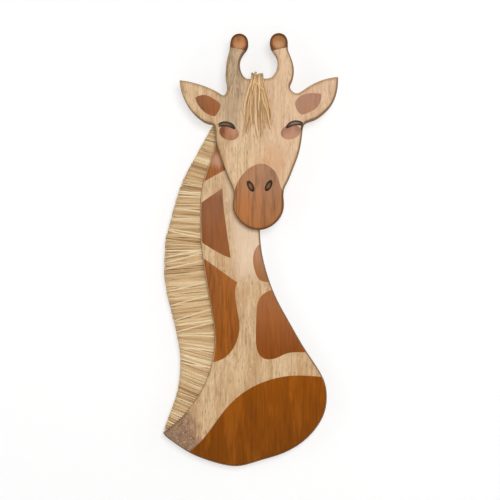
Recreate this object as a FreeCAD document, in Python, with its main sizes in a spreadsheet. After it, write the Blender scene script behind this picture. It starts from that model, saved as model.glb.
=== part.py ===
import FreeCAD, Part
import math
import os
import Sketcher

# Wall-hung giraffe: a flat neck board with a head board screwed on its face, darker wood let in flush,
# a straw mane tucked under the left edge and a raffia forelock over the brow.
# Origin: the point where the wall hook carries the ring, in the plane of the wall.
# X to the right, Z up, the front faces -Y. Millimetres.

os.makedirs("parts", exist_ok=True)
doc = FreeCAD.newDocument("giraffe")
vec = FreeCAD.Vector

# ---------------------------------------------------------------- driving sizes
sizes = {
    "full_width": 242,        # neck tip to ear tip
    "full_height": 599,       # chest edge to horn tips
    "neck_thick": 15,
    "head_thick": 15,
    "edge_round": 4.5,        # round-over along the front edges
    "inlay_depth": 1,         # thin plates of darker wood let into the boards
    "pad_thick": 5,           # felt pads, and so the gap to the wall
    "pad_radius": 9,
    "mane_ply": 4,            # thin board that carries the straw
    "mane_depth": 6,          # straw layers on the ply
    "mane_tuck": 12,          # how far the mane runs under the neck board
    "mane_slack": 0.3,        # rabbet wider than the mane
    "ply_setback": 8,         # ply edge behind the straw ends
    "forelock_thick": 5,
    "forelock_rise": 7,       # fibre standing over the crown of the head
    "forelock_tail": 3,       # fibre stapled down behind the head
    "gouge_radius": 4,        # eyelid groove
    "gouge_depth": 2.2,
    "lid_radius": 16,         # curve of the eyelid, seen from the front
    "nostril_half": 8.4,      # half the length of a nostril
    "nostril_side": 4.2,      # half its width
    "nostril_depth": 4,
    "screw_radius": 2,
    "screw_head": 3.8,
    "screw_length": 25,
    "dowel_radius": 2.5,
    "dowel_length": 18,
    "tack_radius": 0.7,
    "tack_head": 2.2,
    "tack_bite": 1.5,         # tack beyond ply and straw, into the lip of the neck board
    "strap_width": 11,
    "strap_thick": 1,
    "strap_length": 34,
    "ring_wire": 2,           # diameter of the ring's wire
    "ring_inside": 20,        # width inside the ring
    "ring_height": 14,        # pivot to the crown of the ring, wire centres
    "ring_play": 0.1,         # radial play of the wire in the rolled strap
    "small_screw_radius": 1.4,
    "small_screw_head": 2.6,
    "small_screw_length": 12,
    "staple_crown": 10,
    "staple_wire": 1.2,
    "staple_leg": 8,
}
sheet = doc.addObject("Spreadsheet::Sheet", "sizes")
for row, (name, value) in enumerate(sizes.items(), start=1):
    sheet.set(f"A{row}", name)
    sheet.set(f"B{row}", str(value))
    sheet.setAlias(f"B{row}", name)
doc.recompute()

drawn_width = 242             # the outlines below are drawn at this size and stretched to the sheet's
drawn_height = 599
across = sheet.full_width / drawn_width
upward = sheet.full_height / drawn_height
tool_reach = 20               # how far a cutting shape stands clear of the wood
nodes = {}

# depths from the wall, as expressions of the sheet
neck_back = "sizes.pad_thick"
neck_front = "sizes.pad_thick + sizes.neck_thick"
head_front = "sizes.pad_thick + sizes.neck_thick + sizes.head_thick"
head_middle = "sizes.pad_thick + sizes.neck_thick + sizes.head_thick / 2"


def keep(name, thing):
    """The object becomes a sub-part of this name."""
    thing.Label = name
    nodes[name] = thing
    return thing


def at(x, z):
    """A drawn point, stretched to the sheet's width and height."""
    return vec(x * across, z * upward, 0)


def bound(thing, **expressions):
    for field, expression in expressions.items():
        thing.setExpression(field.replace("_at_", ".Base."), expression)
    return thing


def smooth(points, closed=False):
    """A spline through the points; spaced by the root of the distances, so tight bends stay calm."""
    ring = points + points[:1] if closed else points
    steps = [0.0]
    for first, second in zip(ring, ring[1:]):
        steps.append(steps[-1] + math.sqrt(first.distanceToPoint(second)))
    curve = Part.BSplineCurve()
    curve.interpolate(Points=points, PeriodicFlag=closed, Parameters=steps)
    return curve


def divided(curve, count):
    """The curve in a few lengths, so that a long side of a board is several sound faces."""
    length = (curve.LastParameter - curve.FirstParameter) / count
    pieces = []
    for n in range(count):
        piece = curve.copy()
        piece.segment(curve.FirstParameter + n * length, curve.FirstParameter + (n + 1) * length)
        pieces.append(piece)
    return pieces


def outline_edges(runs):
    """Each run is a straight line or a spline, and runs meet in corners; an open lone run is closed round."""
    edges = []
    for run in runs:
        points = [at(x, z) for x, z in run]
        closed = len(runs) == 1 and run[0] != run[-1]
        if len(points) == 2:
            edges.append(Part.LineSegment(*points))
        else:
            edges += divided(smooth(points, closed), max(1 + closed, len(points) // 10))
    return edges


def plane_of(body, role):
    return next(plane for plane in body.Origin.OriginFeatures if plane.Role == role)


def sketch_on(body, role, name, edges):
    sketch = body.newObject("Sketcher::SketchObject", name)
    sketch.AttachmentSupport = (plane_of(body, role), [""])
    sketch.MapMode = "FlatFace"
    for edge in edges:
        sketch.addGeometry(edge, False)
    return sketch


def board(name, runs, back, thick):
    """A flat piece seen from the front: its back lies at this depth from the wall."""
    body = doc.addObject("PartDesign::Body", name)
    sketch = sketch_on(body, "XZ_Plane", name + "_outline", outline_edges(runs))
    pad = body.newObject("PartDesign::Pad", name + "_pad")
    pad.Profile = sketch
    pad.setExpression("Length", thick)
    body.setExpression("Placement.Base.y", f"-({back})")
    doc.recompute()
    return body


def round_front(body):
    """Round over the edges of the front face, the one farthest from the wall."""
    pad = body.Tip
    front = pad.Shape.BoundBox.YMin
    edges = []
    for number, edge in enumerate(pad.Shape.Edges, start=1):
        if abs(edge.BoundBox.YMin - front) < 1e-4 and edge.BoundBox.YLength < 1e-3:
            edges.append(f"Edge{number}")
    fillet = body.newObject("PartDesign::Fillet", body.Name + "_round")
    fillet.Base = (pad, edges)
    fillet.setExpression("Radius", "sizes.edge_round")
    doc.recompute()
    return body


def join(name, things):
    fuse = doc.addObject("Part::MultiFuse", name)
    fuse.Shapes = things
    return fuse


def group(name, things):
    compound = doc.addObject("Part::Compound", name)
    compound.Links = things
    return keep(name, compound)


def cut(name, base, tools):
    """The base less the tools, as a sub-part."""
    result = doc.addObject("Part::Cut", name)
    result.Base = base
    result.Tool = tools[0] if len(tools) == 1 else join(name + "_tools", tools)
    return keep(name, result)


def common(name, base, tool):
    result = doc.addObject("Part::Common", name)
    result.Base = base
    result.Tool = tool
    return result


def lay(thing, x, z, back, turn=None):
    """Set a primitive at a drawn point, at a depth from the wall given by an expression."""
    spot = at(x, z)
    thing.Placement = FreeCAD.Placement(vec(spot.x, 0, spot.y), turn or FreeCAD.Rotation())
    thing.setExpression("Placement.Base.y", f"-({back})")
    return thing


def screw(name, x, z, back, radius, head, length):
    """A countersunk wood screw driven from behind, its head flush at this depth."""
    forward = FreeCAD.Rotation(vec(1, 0, 0), 90)
    cone = lay(doc.addObject("Part::Cone", name + "_head"), x, z, back, forward)
    bound(cone, Radius1=head, Radius2=radius, Height=f"{head} - {radius}")
    shank_start = f"{back} + {head} - {radius}"
    shank = lay(doc.addObject("Part::Cylinder", name + "_shank"), x, z, shank_start, forward)
    bound(shank, Radius=radius, Height=f"{length} - {head} - {radius}")
    tip_start = f"{back} + {length} - 2 * {radius}"
    tip = lay(doc.addObject("Part::Cone", name + "_tip"), x, z, tip_start, forward)
    bound(tip, Radius1=radius, Height=f"2 * {radius}")
    tip.Radius2 = 0
    return join(name, [cone, shank, tip])


# ---------------------------------------------------------------- outlines, drawn from the front
neck_left = [(-42, -36), (-45, -60), (-55, -90), (-62.5, -118), (-64.5, -150), (-63.5, -190),
             (-58, -235), (-49.5, -283), (-45, -315), (-45.5, -342), (-52.5, -373), (-65, -400),
             (-83, -426), (-102, -444.5)]
neck_tip = (-116, -455)
neck_chest = [(-112, -460.5), (-103, -467.5), (-80, -482.5), (-58, -492), (-39, -498), (-20, -501.5),
              (-4, -500.5), (20, -493.5), (45, -486), (68, -475), (86, -461), (100, -444),
              (109, -425), (111.5, -404), (108.5, -385), (99, -366)]
neck_throat = [(82, -340.5), (63, -308), (44, -273.5), (33, -248), (24, -218), (19.5, -190), (18.5, -150)]
neck_crown = [(20, -100), (20, -40), (17, -8), (4, 4), (-14, 5), (-30, -4)]

left_horn_tip = [(-10, 96.5), (-18.8, 92.8), (-22.4, 84)]
left_horn_outside = [(-23.5, 74), (-26.8, 61), (-28.5, 47), (-28.6, 32), (-27, 19.5), (-31.5, 11.5)]
left_ear_top = [(-37, 14), (-51.5, 21.5), (-66, 26.8), (-80, 30.4)]
left_ear_tip = (-92.3, 32.4)
left_ear_under = [(-90.8, 21), (-86, 6.5), (-76.5, -9.5), (-65, -20.8), (-54, -27.2), (-46, -29.5)]
left_cheek = [(-42.8, -34), (-41.7, -50), (-36, -72), (-24.5, -103), (-18.2, -118)]
muzzle_round = [(-17.6, -127), (-18.6, -140), (-16.5, -150), (-11.5, -158.8), (-3.5, -166.8), (6, -172),
                (16.5, -173.8), (26, -172.3), (35.5, -167.8), (44, -160), (49.5, -150.5), (51.5, -139.5),
                (50.8, -127)]
right_cheek = [(52.3, -116.5), (57, -107), (63.5, -91), (70.5, -73), (74.3, -58), (76.5, -43), (77.8, -33)]
right_ear_under = [(81.5, -27), (93.5, -22.3), (107, -13), (117, -2), (122.8, 10.5), (125.5, 23.5)]
right_ear_tip = (126, 36.6)
right_ear_top = [(113, 34.9), (99.5, 30.7), (84, 22.5), (73.5, 15.5)]
right_horn_outside = [(67.5, 14.5), (60, 21.5), (62.7, 31), (65, 41), (64.5, 52), (60.5, 65),
                      (57, 75)]
right_horn_tip = [(56.7, 85), (53.1, 93.6), (44.4, 97.2), (35.6, 93.6), (32, 85), (33, 76.5)]
right_horn_inside = [(37, 69.5), (41.3, 62), (42.5, 53), (40.3, 44.5), (35.5, 37.5)]
crown = [(28, 34.5), (15, 35.5), (3, 34)]
left_horn_inside = [(-3.5, 37), (-7.5, 44), (-9.2, 53), (-8, 61.5), (-3.5, 69.5), (1, 76),
                    (2.4, 84), (-1.2, 92.8)]

neck_outline = [[neck_tip] + neck_chest + neck_throat + neck_crown + neck_left + [neck_tip]]
lower_face = left_cheek + muzzle_round + right_cheek
horns = (right_horn_outside + right_horn_tip + right_horn_inside + crown + left_horn_inside + left_horn_tip
         + left_horn_outside)
head_outline = [[left_ear_tip] + left_ear_under + lower_face + right_ear_under + [right_ear_tip],
                [right_ear_tip] + right_ear_top + horns + left_ear_top + [left_ear_tip]]

# patches of darker wood; where one runs off the board its outline simply goes past the edge
neck_spots = {
    "neck_spot_nape": [[(-76, -117), (-59.5, -107), (-38, -95), (-25, -88)],
                       [(-25, -88), (-25, -60), (-34, -40)],
                       [(-34, -40), (-70, -40)], [(-70, -40), (-76, -117)]],
    "neck_spot_upper": [[(-78, -146.5), (-33.5, -115.5)],
                        [(-33.5, -115.5), (-31.5, -144), (-28, -172), (-22, -212.5)],
                        [(-22, -212.5), (-40, -204.5), (-61, -191.5), (-78, -180)],
                        [(-78, -180), (-78, -146.5)]],
    "neck_spot_middle": [[(-76, -202), (-57, -214.5), (-34.5, -231), (-12.5, -246.5)],
                         [(-12.5, -246.5), (-15.5, -268), (-10.5, -298), (-10.5, -316), (-18, -337),
                          (-31, -351), (-47, -357), (-64, -359)], [(-64, -359), (-76, -202)]],
    "neck_spot_throat": [[(36, -189), (19, -192.5), (11, -203), (9, -216), (11.5, -230), (18, -242.5),
                          (30, -246), (46, -246)], [(46, -246), (36, -189)]],
    "neck_spot_side": [[(52, -252), (29, -259), (18, -268.5), (14, -286), (13, -311), (14, -337),
                        (21, -350), (32, -353), (44, -350), (55, -345), (72, -343), (98, -345)],
                       [(98, -345), (52, -252)]],
    "neck_spot_chest": [[(-92, -493), (-77.5, -479.5), (-62, -465), (-45, -443), (-24, -416), (4, -393.5),
                         (35, -380.5), (64, -375.5), (97, -376.5), (128, -380)], [(128, -380), (128, -520)],
                        [(128, -520), (-92, -520)], [(-92, -520), (-92, -493)]],
}
ear_inlays = {
    "ear_inlay_left": [[(-70.5, 8), (-62.5, 11), (-54, 10.8), (-43.5, 5.2), (-36, -1), (-37, -8.5),
                        (-43, -17.8)],
                       [(-43, -17.8), (-53, -15), (-63.5, -6.5), (-70.5, 8)]],
    "ear_inlay_right": [[(102.8, 12.8), (89, 14), (77, 11.5), (69.5, 6), (67, -1), (69.5, -9.5),
                         (75.5, -15.8)],
                        [(75.5, -15.8), (86, -12.5), (96, -6.5), (101.5, 2.5), (102.8, 12.8)]],
}
eye_inlays = {"eye_inlay_left": (-24, -40, 13.8, 10.6, -18),      # middle, half length, half height and slope
              "eye_inlay_right": (60.6, -39.4, 13.8, 10, 17)}
# crown of each groove, and its lean in degrees
eyelids = {"left": (-27.3, -28.4, 8), "right": (66.3, -27, -8)}
nostrils = {"left": (5.6, -113.8, -28), "right": (30.4, -113, 28)}
muzzle_seam = [[(-34, -133), (-19, -124.5), (-14.5, -114), (-8.5, -102), (-0.5, -92.5), (8.5, -86.3),
                (18, -83), (26.5, -84), (34, -88.5), (40.2, -95.5), (44.2, -105), (47, -114.5),
                (51, -121.5), (62, -130)],
               [(62, -130), (62, -190)], [(62, -190), (-34, -190)], [(-34, -190), (-34, -133)]]
forelock_top = 40
forelock_left, forelock_right = 6, 23                # where the tuft crosses the crown
forelock_fan = [(1.5, 22), (-3.5, 5), (-4.5, -15), (0, -34), (9, -46), (19, -49), (29, -42),
                (35, -25), (34.5, -3), (29, 18)]
forelock_corners = [(forelock_left, forelock_top), (forelock_right, forelock_top)]
forelock_outline = [[forelock_corners[0]] + forelock_fan + [forelock_corners[1]], forelock_corners[::-1]]

# ---------------------------------------------------------------- fasteners
screw_sizes = ("sizes.screw_radius", "sizes.screw_head", "sizes.screw_length")
head_screws = [screw(f"head_screw_{n}", x, z, neck_back, *screw_sizes)
               for n, (x, z) in enumerate([(-20, -18), (-16, -70), (12, -70)], start=1)]
group("head_screws", head_screws)
muzzle_screws = [screw(f"muzzle_screw_{n}", x, z, neck_back, *screw_sizes)
                 for n, (x, z) in enumerate([(3, -132), (3, -158)], start=1)]
group("muzzle_screws", muzzle_screws)


def dowel(name, x, z):
    """A dowel standing upright in the middle of the head board's thickness, centred on this point."""
    pin = doc.addObject("Part::Cylinder", name)
    bound(pin, Radius="sizes.dowel_radius", Height="sizes.dowel_length")
    lay(pin, x, z, head_middle)
    pin.setExpression("Placement.Base.z", f"{z * upward} - sizes.dowel_length / 2")
    return pin


# middle of each joint, and its slope in degrees
horn_joints = {"left": (-10.5, 74.5, -12), "right": (45, 74.5, 13)}
horn_dowels = [dowel(f"horn_dowel_{side}", x, z) for side, (x, z, _) in horn_joints.items()]
group("horn_dowels", horn_dowels)
muzzle_dowels = [dowel(f"muzzle_dowel_{n}", x, -84.5) for n, x in enumerate((10.5, 25.5), start=1)]
group("muzzle_dowels", muzzle_dowels)


def staple(name, x, z):
    """A wire staple holding the forelock's tail to the back of the head board; its legs point forward."""
    crown_back = "sizes.pad_thick + sizes.neck_thick - sizes.forelock_tail - sizes.staple_wire"
    bars = []
    for part, offset, width, depth in (
            ("crown", "-sizes.staple_crown / 2", "sizes.staple_crown", "sizes.staple_wire"),
            ("leg_1", "-sizes.staple_crown / 2", "sizes.staple_wire", "sizes.staple_leg"),
            ("leg_2", "sizes.staple_crown / 2 - sizes.staple_wire", "sizes.staple_wire", "sizes.staple_leg")):
        bar = doc.addObject("Part::Box", f"{name}_{part}")
        bound(bar, Length=width, Width=depth, Height="sizes.staple_wire")
        lay(bar, x, z, "0")
        bar.setExpression("Placement.Base.x", f"{x * across} + {offset}")
        bar.setExpression("Placement.Base.y", f"-({crown_back} + {depth})")
        bars.append(bar)
    return keep(name, join(name, bars))


forelock_staple = staple("forelock_staple", 14.5, 24)

# ---------------------------------------------------------------- mane
mane_top = (-34, -22)
mane_outside = [(-48, -30), (-59, -49), (-72, -73), (-85, -97), (-95, -121), (-102, -146),
                (-109, -172), (-113.5, -191), (-114.5, -217), (-114.5, -238), (-110.5, -265), (-104, -291),
                (-98, -317), (-93.5, -338), (-92.3, -358), (-93.5, -381), (-98.5, -405), (-106, -426),
                (-112, -442), (-115, -451.5)]


def mane_runs(setback, slack=0.0):
    """The straw's outline, or the ply's with its outer edge drawn in; the inner edge follows the neck."""
    tuck = (sheet.mane_tuck + slack) / across
    inner = [(x + tuck, z) for x, z in neck_left[:-1]]
    outer = [(x + setback / across, z) for x, z in mane_outside]
    top = (mane_top[0] + tuck, mane_top[1])
    foot = (neck_tip[0] + tuck, neck_tip[1])
    return [[top, outer[0]], outer, [outer[-1], foot], [foot] + inner[::-1], [inner[0], top]]


mane_ply = board("mane_ply_blank", mane_runs(sheet.ply_setback), neck_back, "sizes.mane_ply")
straw_back = "sizes.pad_thick + sizes.mane_ply"
mane_straw = board("mane_straw_blank", mane_runs(0), straw_back, "sizes.mane_depth")
rabbet = board("mane_rabbet", mane_runs(0, sheet.mane_slack), neck_back, "sizes.mane_ply + sizes.mane_depth")


def tack(name, x, z):
    """A flat-headed tack through ply and straw into the lip of the neck board."""
    forward = FreeCAD.Rotation(vec(1, 0, 0), 90)
    head = lay(doc.addObject("Part::Cylinder", name + "_head"), x, z, neck_back, forward)
    bound(head, Radius="sizes.tack_head", Height="sizes.tack_radius")
    pin = lay(doc.addObject("Part::Cylinder", name + "_pin"), x, z, neck_back, forward)
    bound(pin, Radius="sizes.tack_radius", Height="sizes.mane_ply + sizes.mane_depth + sizes.tack_bite")
    return join(name, [head, pin])


tacked = neck_left[1:13:2]
mane_tacks = [tack(f"mane_tack_{n}", x + sheet.mane_tuck / across / 2, z)
              for n, (x, z) in enumerate(tacked, start=1)]
group("mane_tacks", mane_tacks)
cut("mane_backing", mane_ply, mane_tacks)
cut("mane_straw", mane_straw, mane_tacks)

# ---------------------------------------------------------------- neck board and its spots
neck_blank = round_front(board("neck_blank", neck_outline, neck_back, "sizes.neck_thick"))


def inlay_tool(name, runs, front):
    """A prism from the bottom of an inlay to well in front of the wood."""
    return board(name + "_tool", runs, f"{front} - sizes.inlay_depth", f"sizes.inlay_depth + {tool_reach}")


spot_tools = []
for name, runs in neck_spots.items():
    tool = inlay_tool(name, runs, neck_front)
    keep(name, common(name, neck_blank, tool))
    spot_tools.append(tool)

# ---------------------------------------------------------------- hanger
roll_inside = "(sizes.ring_wire / 2 + sizes.ring_play)"
roll_outside = f"({roll_inside} + sizes.strap_thick)"
pivot_depth = f"sizes.pad_thick - {roll_outside}"
ring_wire = sheet.ring_wire / 2
pivot_drop = sheet.ring_height - ring_wire          # the hook bears on the inside of the ring's crown
roll_bore = ring_wire + sheet.ring_play
roll_skin = roll_bore + sheet.strap_thick


def strap_profile():
    """The strap from the side: flat down the board, then rolled most of the way round the ring's wire."""
    open_angle = 60                                  # the roll's open end stops short of the strap
    gap_angle = math.radians(open_angle)
    centre = vec(0, 0, 0)
    foot = -sheet.strap_length
    normal = vec(0, 0, 1)
    end_out = vec(-roll_skin * math.sin(gap_angle), -roll_skin * math.cos(gap_angle), 0)
    end_in = end_out * (roll_bore / roll_skin)
    # sketch x is depth from the pivot towards the board, sketch y is height over the pivot
    roll_end = math.atan2(end_out.y, end_out.x) + 2 * math.pi
    outer = Part.ArcOfCircle(Part.Circle(centre, normal, roll_skin), 0, roll_end)
    inner = Part.ArcOfCircle(Part.Circle(centre, normal, roll_bore), 0, roll_end)
    return [outer, Part.LineSegment(end_out, end_in), inner,
            Part.LineSegment(vec(roll_bore, 0, 0), vec(roll_bore, foot, 0)),
            Part.LineSegment(vec(roll_bore, foot, 0), vec(roll_skin, foot, 0)),
            Part.LineSegment(vec(roll_skin, foot, 0), vec(roll_skin, 0, 0))]


strap = doc.addObject("PartDesign::Body", "strap_blank")
strap_sketch = sketch_on(strap, "XY_Plane", "strap_profile", strap_profile())
strap_pad = strap.newObject("PartDesign::Pad", "strap_pad")
strap_pad.Profile = strap_sketch
strap_pad.setExpression("Length", "sizes.strap_width")
strap_pad.Midplane = True
# the sketch's x points forward into the board and its y up
strap_turn = FreeCAD.Rotation(vec(0, -1, 0), vec(0, 0, 1), vec(-1, 0, 0), "XYZ")
strap.Placement = FreeCAD.Placement(vec(), strap_turn)
bound(strap, Placement_at_y=f"-({pivot_depth})", Placement_at_z=str(-pivot_drop))

small_sizes = ("sizes.small_screw_radius", "sizes.small_screw_head", "sizes.small_screw_length")
strap_back = f"{neck_back} - sizes.strap_thick"
top_screw_drop = 11                                  # from the ring's pivot
foot_screw_rise = 7                                  # from the strap's foot
screw_drops = (top_screw_drop, sheet.strap_length - foot_screw_rise)
hanger_screws = [screw(f"hanger_screw_{n}", 0, (-pivot_drop - drop) / upward, strap_back, *small_sizes)
                 for n, drop in enumerate(screw_drops, start=1)]
group("hanger_screws", hanger_screws)
cut("hanger_strap", strap, hanger_screws)


corner_wires = 1.6                                   # the D's corners, in thicknesses of its wire


def ring_path():
    """A D seen from behind: a straight bar in the roll, tight corners, then a full round crown."""
    half = sheet.ring_inside / 2 + ring_wire
    corner = corner_wires * sheet.ring_wire
    shortest_side = 0.01                             # the sides never vanish, even under a tall crown
    shoulder = max(sheet.ring_height - half, corner) + shortest_side
    round_crown = Part.Ellipse(vec(0, shoulder, 0), half, sheet.ring_height - shoulder)
    normal = vec(0, 0, 1)
    turn = math.pi / 2
    return [Part.LineSegment(vec(0, 0, 0), vec(half - corner, 0, 0)),
            Part.ArcOfCircle(Part.Circle(vec(half - corner, corner, 0), normal, corner), -turn, 0),
            Part.LineSegment(vec(half, corner, 0), vec(half, shoulder, 0)),
            Part.ArcOfEllipse(round_crown, 0, 2 * turn),
            Part.LineSegment(vec(-half, shoulder, 0), vec(-half, corner, 0)),
            Part.ArcOfCircle(Part.Circle(vec(corner - half, corner, 0), normal, corner), 2 * turn, 3 * turn),
            Part.LineSegment(vec(corner - half, 0, 0), vec(0, 0, 0))]


ring = doc.addObject("PartDesign::Body", "hanger_ring")
ring_route = sketch_on(ring, "XZ_Plane", "ring_route", ring_path())
wire_circle = Part.Circle(vec(0, 0, 0), vec(0, 0, 1), ring_wire)
ring_section = sketch_on(ring, "YZ_Plane", "ring_section", [wire_circle])
doc.recompute()
ring_pipe = ring.newObject("PartDesign::AdditivePipe", "ring_pipe")
ring_pipe.Profile = ring_section
ring_pipe.Spine = (ring_route, [f"Edge{n}" for n in range(1, 8)])
bound(ring, Placement_at_y=f"-({pivot_depth})", Placement_at_z=str(-pivot_drop))
keep("hanger_ring", ring)

# ---------------------------------------------------------------- finish the neck board
neck_tools = spot_tools + [rabbet] + head_screws + muzzle_screws + mane_tacks + hanger_screws
cut("neck_board", neck_blank, neck_tools)

# ---------------------------------------------------------------- head board, muzzle, horn tips and inlays
head_blank = round_front(board("head_blank", head_outline, neck_front, "sizes.head_thick"))


def eyelid_gouge(name, x, z, lean):
    """A round gouge along the lid: half a ring, tipped so that the groove fades towards both ends."""
    tip_angle = 22
    ring_shape = doc.addObject("Part::Torus", name)
    ring_shape.Angle1 = 0                            # the seam runs round the outside of the ring
    ring_shape.Angle2 = 360
    ring_shape.Angle3 = 180
    bound(ring_shape, Radius1="sizes.lid_radius", Radius2="sizes.gouge_radius")
    tipped = FreeCAD.Rotation(vec(0, 1, 0), lean) * FreeCAD.Rotation(vec(1, 0, 0), 90 - tip_angle)
    sunk = sheet.lid_radius * math.cos(math.radians(tip_angle))
    proud = sheet.lid_radius * math.sin(math.radians(tip_angle))
    lean_angle = math.radians(lean)
    centre_x = x * across - sunk * math.sin(lean_angle)
    centre_z = z * upward - sunk * math.cos(lean_angle)
    ring_shape.Placement = FreeCAD.Placement(vec(centre_x, 0, centre_z), tipped)
    crown_depth = f"{head_front} + sizes.gouge_radius - sizes.gouge_depth + {proud}"
    ring_shape.setExpression("Placement.Base.y", f"-({crown_depth})")
    return ring_shape


def nostril_scoop(name, x, z, lean):
    """A bowl-shaped scoop, longer than wide, leaning with the side of the muzzle."""
    scoop = doc.addObject("Part::Ellipsoid", name)
    bound(scoop, Radius1="sizes.nostril_half", Radius2="sizes.nostril_side", Radius3="sizes.nostril_depth")
    return lay(scoop, x, z, head_front, FreeCAD.Rotation(vec(0, 1, 0), lean))


def horn_end(name, x, z, slope):
    """A block over the end of a horn; its sloping under side is the joint with the dark tip."""
    wide = 40                                        # more than the horn is across
    block = doc.addObject("Part::Box", name)
    turn = FreeCAD.Rotation(vec(0, 1, 0), -slope)
    block.Length = wide
    block.Height = wide
    bound(block, Width=f"sizes.head_thick + {2 * tool_reach}")
    corner = at(x, z)
    start = vec(corner.x, 0, corner.y) + turn.multVec(vec(-wide / 2, 0, 0))
    block.Placement = FreeCAD.Placement(start, turn)
    block.setExpression("Placement.Base.y", f"-({head_front} + {tool_reach})")
    return block


gouges = [eyelid_gouge(f"eyelid_{side}", *place) for side, place in eyelids.items()]
scoops = [nostril_scoop(f"nostril_{side}", *place) for side, place in nostrils.items()]
head_tools = list(gouges) + head_screws + horn_dowels + muzzle_dowels + [forelock_staple]

for side, (x, z, slope) in horn_joints.items():
    name = f"horn_tip_{side}"
    tool = horn_end(name + "_tool", x, z, slope)
    cut(name, common(name + "_blank", head_blank, tool), horn_dowels)
    head_tools.append(tool)

for name, runs in ear_inlays.items():
    tool = inlay_tool(name, runs, head_front)
    keep(name, common(name, head_blank, tool))
    head_tools.append(tool)


def oval_tool(name, x, z, half_length, half_height, slope):
    """A prism over a sloping oval, from the bottom of its inlay to well in front of the wood."""
    ring = doc.addObject("Part::Ellipse", name + "_oval")
    ring.MajorRadius = half_length
    ring.MinorRadius = half_height
    forward = FreeCAD.Rotation(vec(0, -1, 0), slope) * FreeCAD.Rotation(vec(1, 0, 0), 90)
    lay(ring, x, z, f"{head_front} - sizes.inlay_depth", forward)
    prism = doc.addObject("Part::Extrusion", name + "_tool")
    prism.Base = ring
    prism.DirMode = "Custom"
    prism.Dir = vec(0, -1, 0)
    prism.Solid = True
    return bound(prism, LengthFwd=f"sizes.inlay_depth + {tool_reach}")


for name, place in eye_inlays.items():
    tool = oval_tool(name, *place)
    cut(name, common(name + "_blank", head_blank, tool), gouges)
    head_tools.append(tool)

muzzle_back = f"{neck_front} - {tool_reach}"
muzzle_tool = board("muzzle_tool", muzzle_seam, muzzle_back, f"sizes.head_thick + {2 * tool_reach}")
cut("muzzle", common("muzzle_blank", head_blank, muzzle_tool), scoops + muzzle_screws + muzzle_dowels)
cut("head_board", head_blank, head_tools + [muzzle_tool])

# ---------------------------------------------------------------- forelock: over the crown, down both sides
forelock_front = board("forelock_front", forelock_outline, head_front, "sizes.forelock_thick")
forelock_wrap = doc.addObject("Part::Box", "forelock_wrap")
wrap_foot = 18                                       # how far down the back of the head it goes
wrap_top = 35
wrap_width = forelock_right - forelock_left
bound(forelock_wrap, Length=str(wrap_width * across),
      Height=f"{(wrap_top - wrap_foot) * upward} + sizes.forelock_rise",
      Width="sizes.forelock_tail + sizes.head_thick + sizes.forelock_thick")
lay(forelock_wrap, forelock_left, wrap_foot, f"{head_front} + sizes.forelock_thick")
cut("forelock", join("forelock_blank", [forelock_front, forelock_wrap]), [head_blank, forelock_staple])

# ---------------------------------------------------------------- felt pads: they keep the foot off the wall
wall_pads = {"left": (-50, -470), "right": (70, -450)}
for side, (x, z) in wall_pads.items():
    pad = doc.addObject("Part::Cylinder", f"wall_pad_{side}")
    bound(pad, Radius="sizes.pad_radius", Height="sizes.pad_thick")
    lay(pad, x, z, "0", FreeCAD.Rotation(vec(1, 0, 0), 90))
    keep(f"wall_pad_{side}", pad)

# ---------------------------------------------------------------- check and write
doc.recompute()
for thing in doc.Objects:
    if {"Invalid", "Error"} & set(thing.State):
        raise RuntimeError(f"{thing.Name} failed: {thing.State}")
for name, thing in nodes.items():
    shape = thing.Shape
    if shape.isNull() or not shape.isValid() or not shape.Solids:
        raise RuntimeError(f"{name} has no sound shape")
for name, thing in nodes.items():
    thing.Shape.exportStep(f"parts/{name}.step")
    print(name, len(thing.Shape.Solids), round(thing.Shape.Volume))
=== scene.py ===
import math
import random
import bpy
import numpy as np
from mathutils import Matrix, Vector
from mathutils.bvhtree import BVHTree


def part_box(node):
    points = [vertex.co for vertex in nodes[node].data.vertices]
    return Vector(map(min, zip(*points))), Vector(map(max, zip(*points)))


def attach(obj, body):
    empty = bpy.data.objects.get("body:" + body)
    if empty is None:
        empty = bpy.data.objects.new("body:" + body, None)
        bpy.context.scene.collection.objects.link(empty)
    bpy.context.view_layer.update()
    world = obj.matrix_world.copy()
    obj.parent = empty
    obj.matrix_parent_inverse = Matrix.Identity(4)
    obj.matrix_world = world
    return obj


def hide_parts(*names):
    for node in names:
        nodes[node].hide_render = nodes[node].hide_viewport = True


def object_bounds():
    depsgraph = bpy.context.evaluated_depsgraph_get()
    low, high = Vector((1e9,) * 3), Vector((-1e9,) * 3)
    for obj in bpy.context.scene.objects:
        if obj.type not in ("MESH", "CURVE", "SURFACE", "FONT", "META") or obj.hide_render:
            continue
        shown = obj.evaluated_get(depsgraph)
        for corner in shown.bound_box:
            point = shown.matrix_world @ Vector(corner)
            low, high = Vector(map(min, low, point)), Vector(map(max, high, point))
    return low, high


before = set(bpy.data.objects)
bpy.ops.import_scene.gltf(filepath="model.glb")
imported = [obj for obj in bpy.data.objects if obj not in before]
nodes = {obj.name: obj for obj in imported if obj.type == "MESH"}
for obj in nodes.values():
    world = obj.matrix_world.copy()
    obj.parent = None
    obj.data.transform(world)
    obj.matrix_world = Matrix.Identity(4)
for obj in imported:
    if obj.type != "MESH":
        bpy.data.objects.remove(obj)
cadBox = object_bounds()
mm = 0.001
print("frame loaded:", len(nodes), "pieces")

# camera: square on to the carved face, long lens
cameraSetup = {
    "centre": (4.8 * mm, -201.4 * mm),   # what the lens points at, across and up
    "width": 689.7 * mm,                 # seen across at the carved face
    "face": -27 * mm,
    "lens": 85,
}


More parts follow.
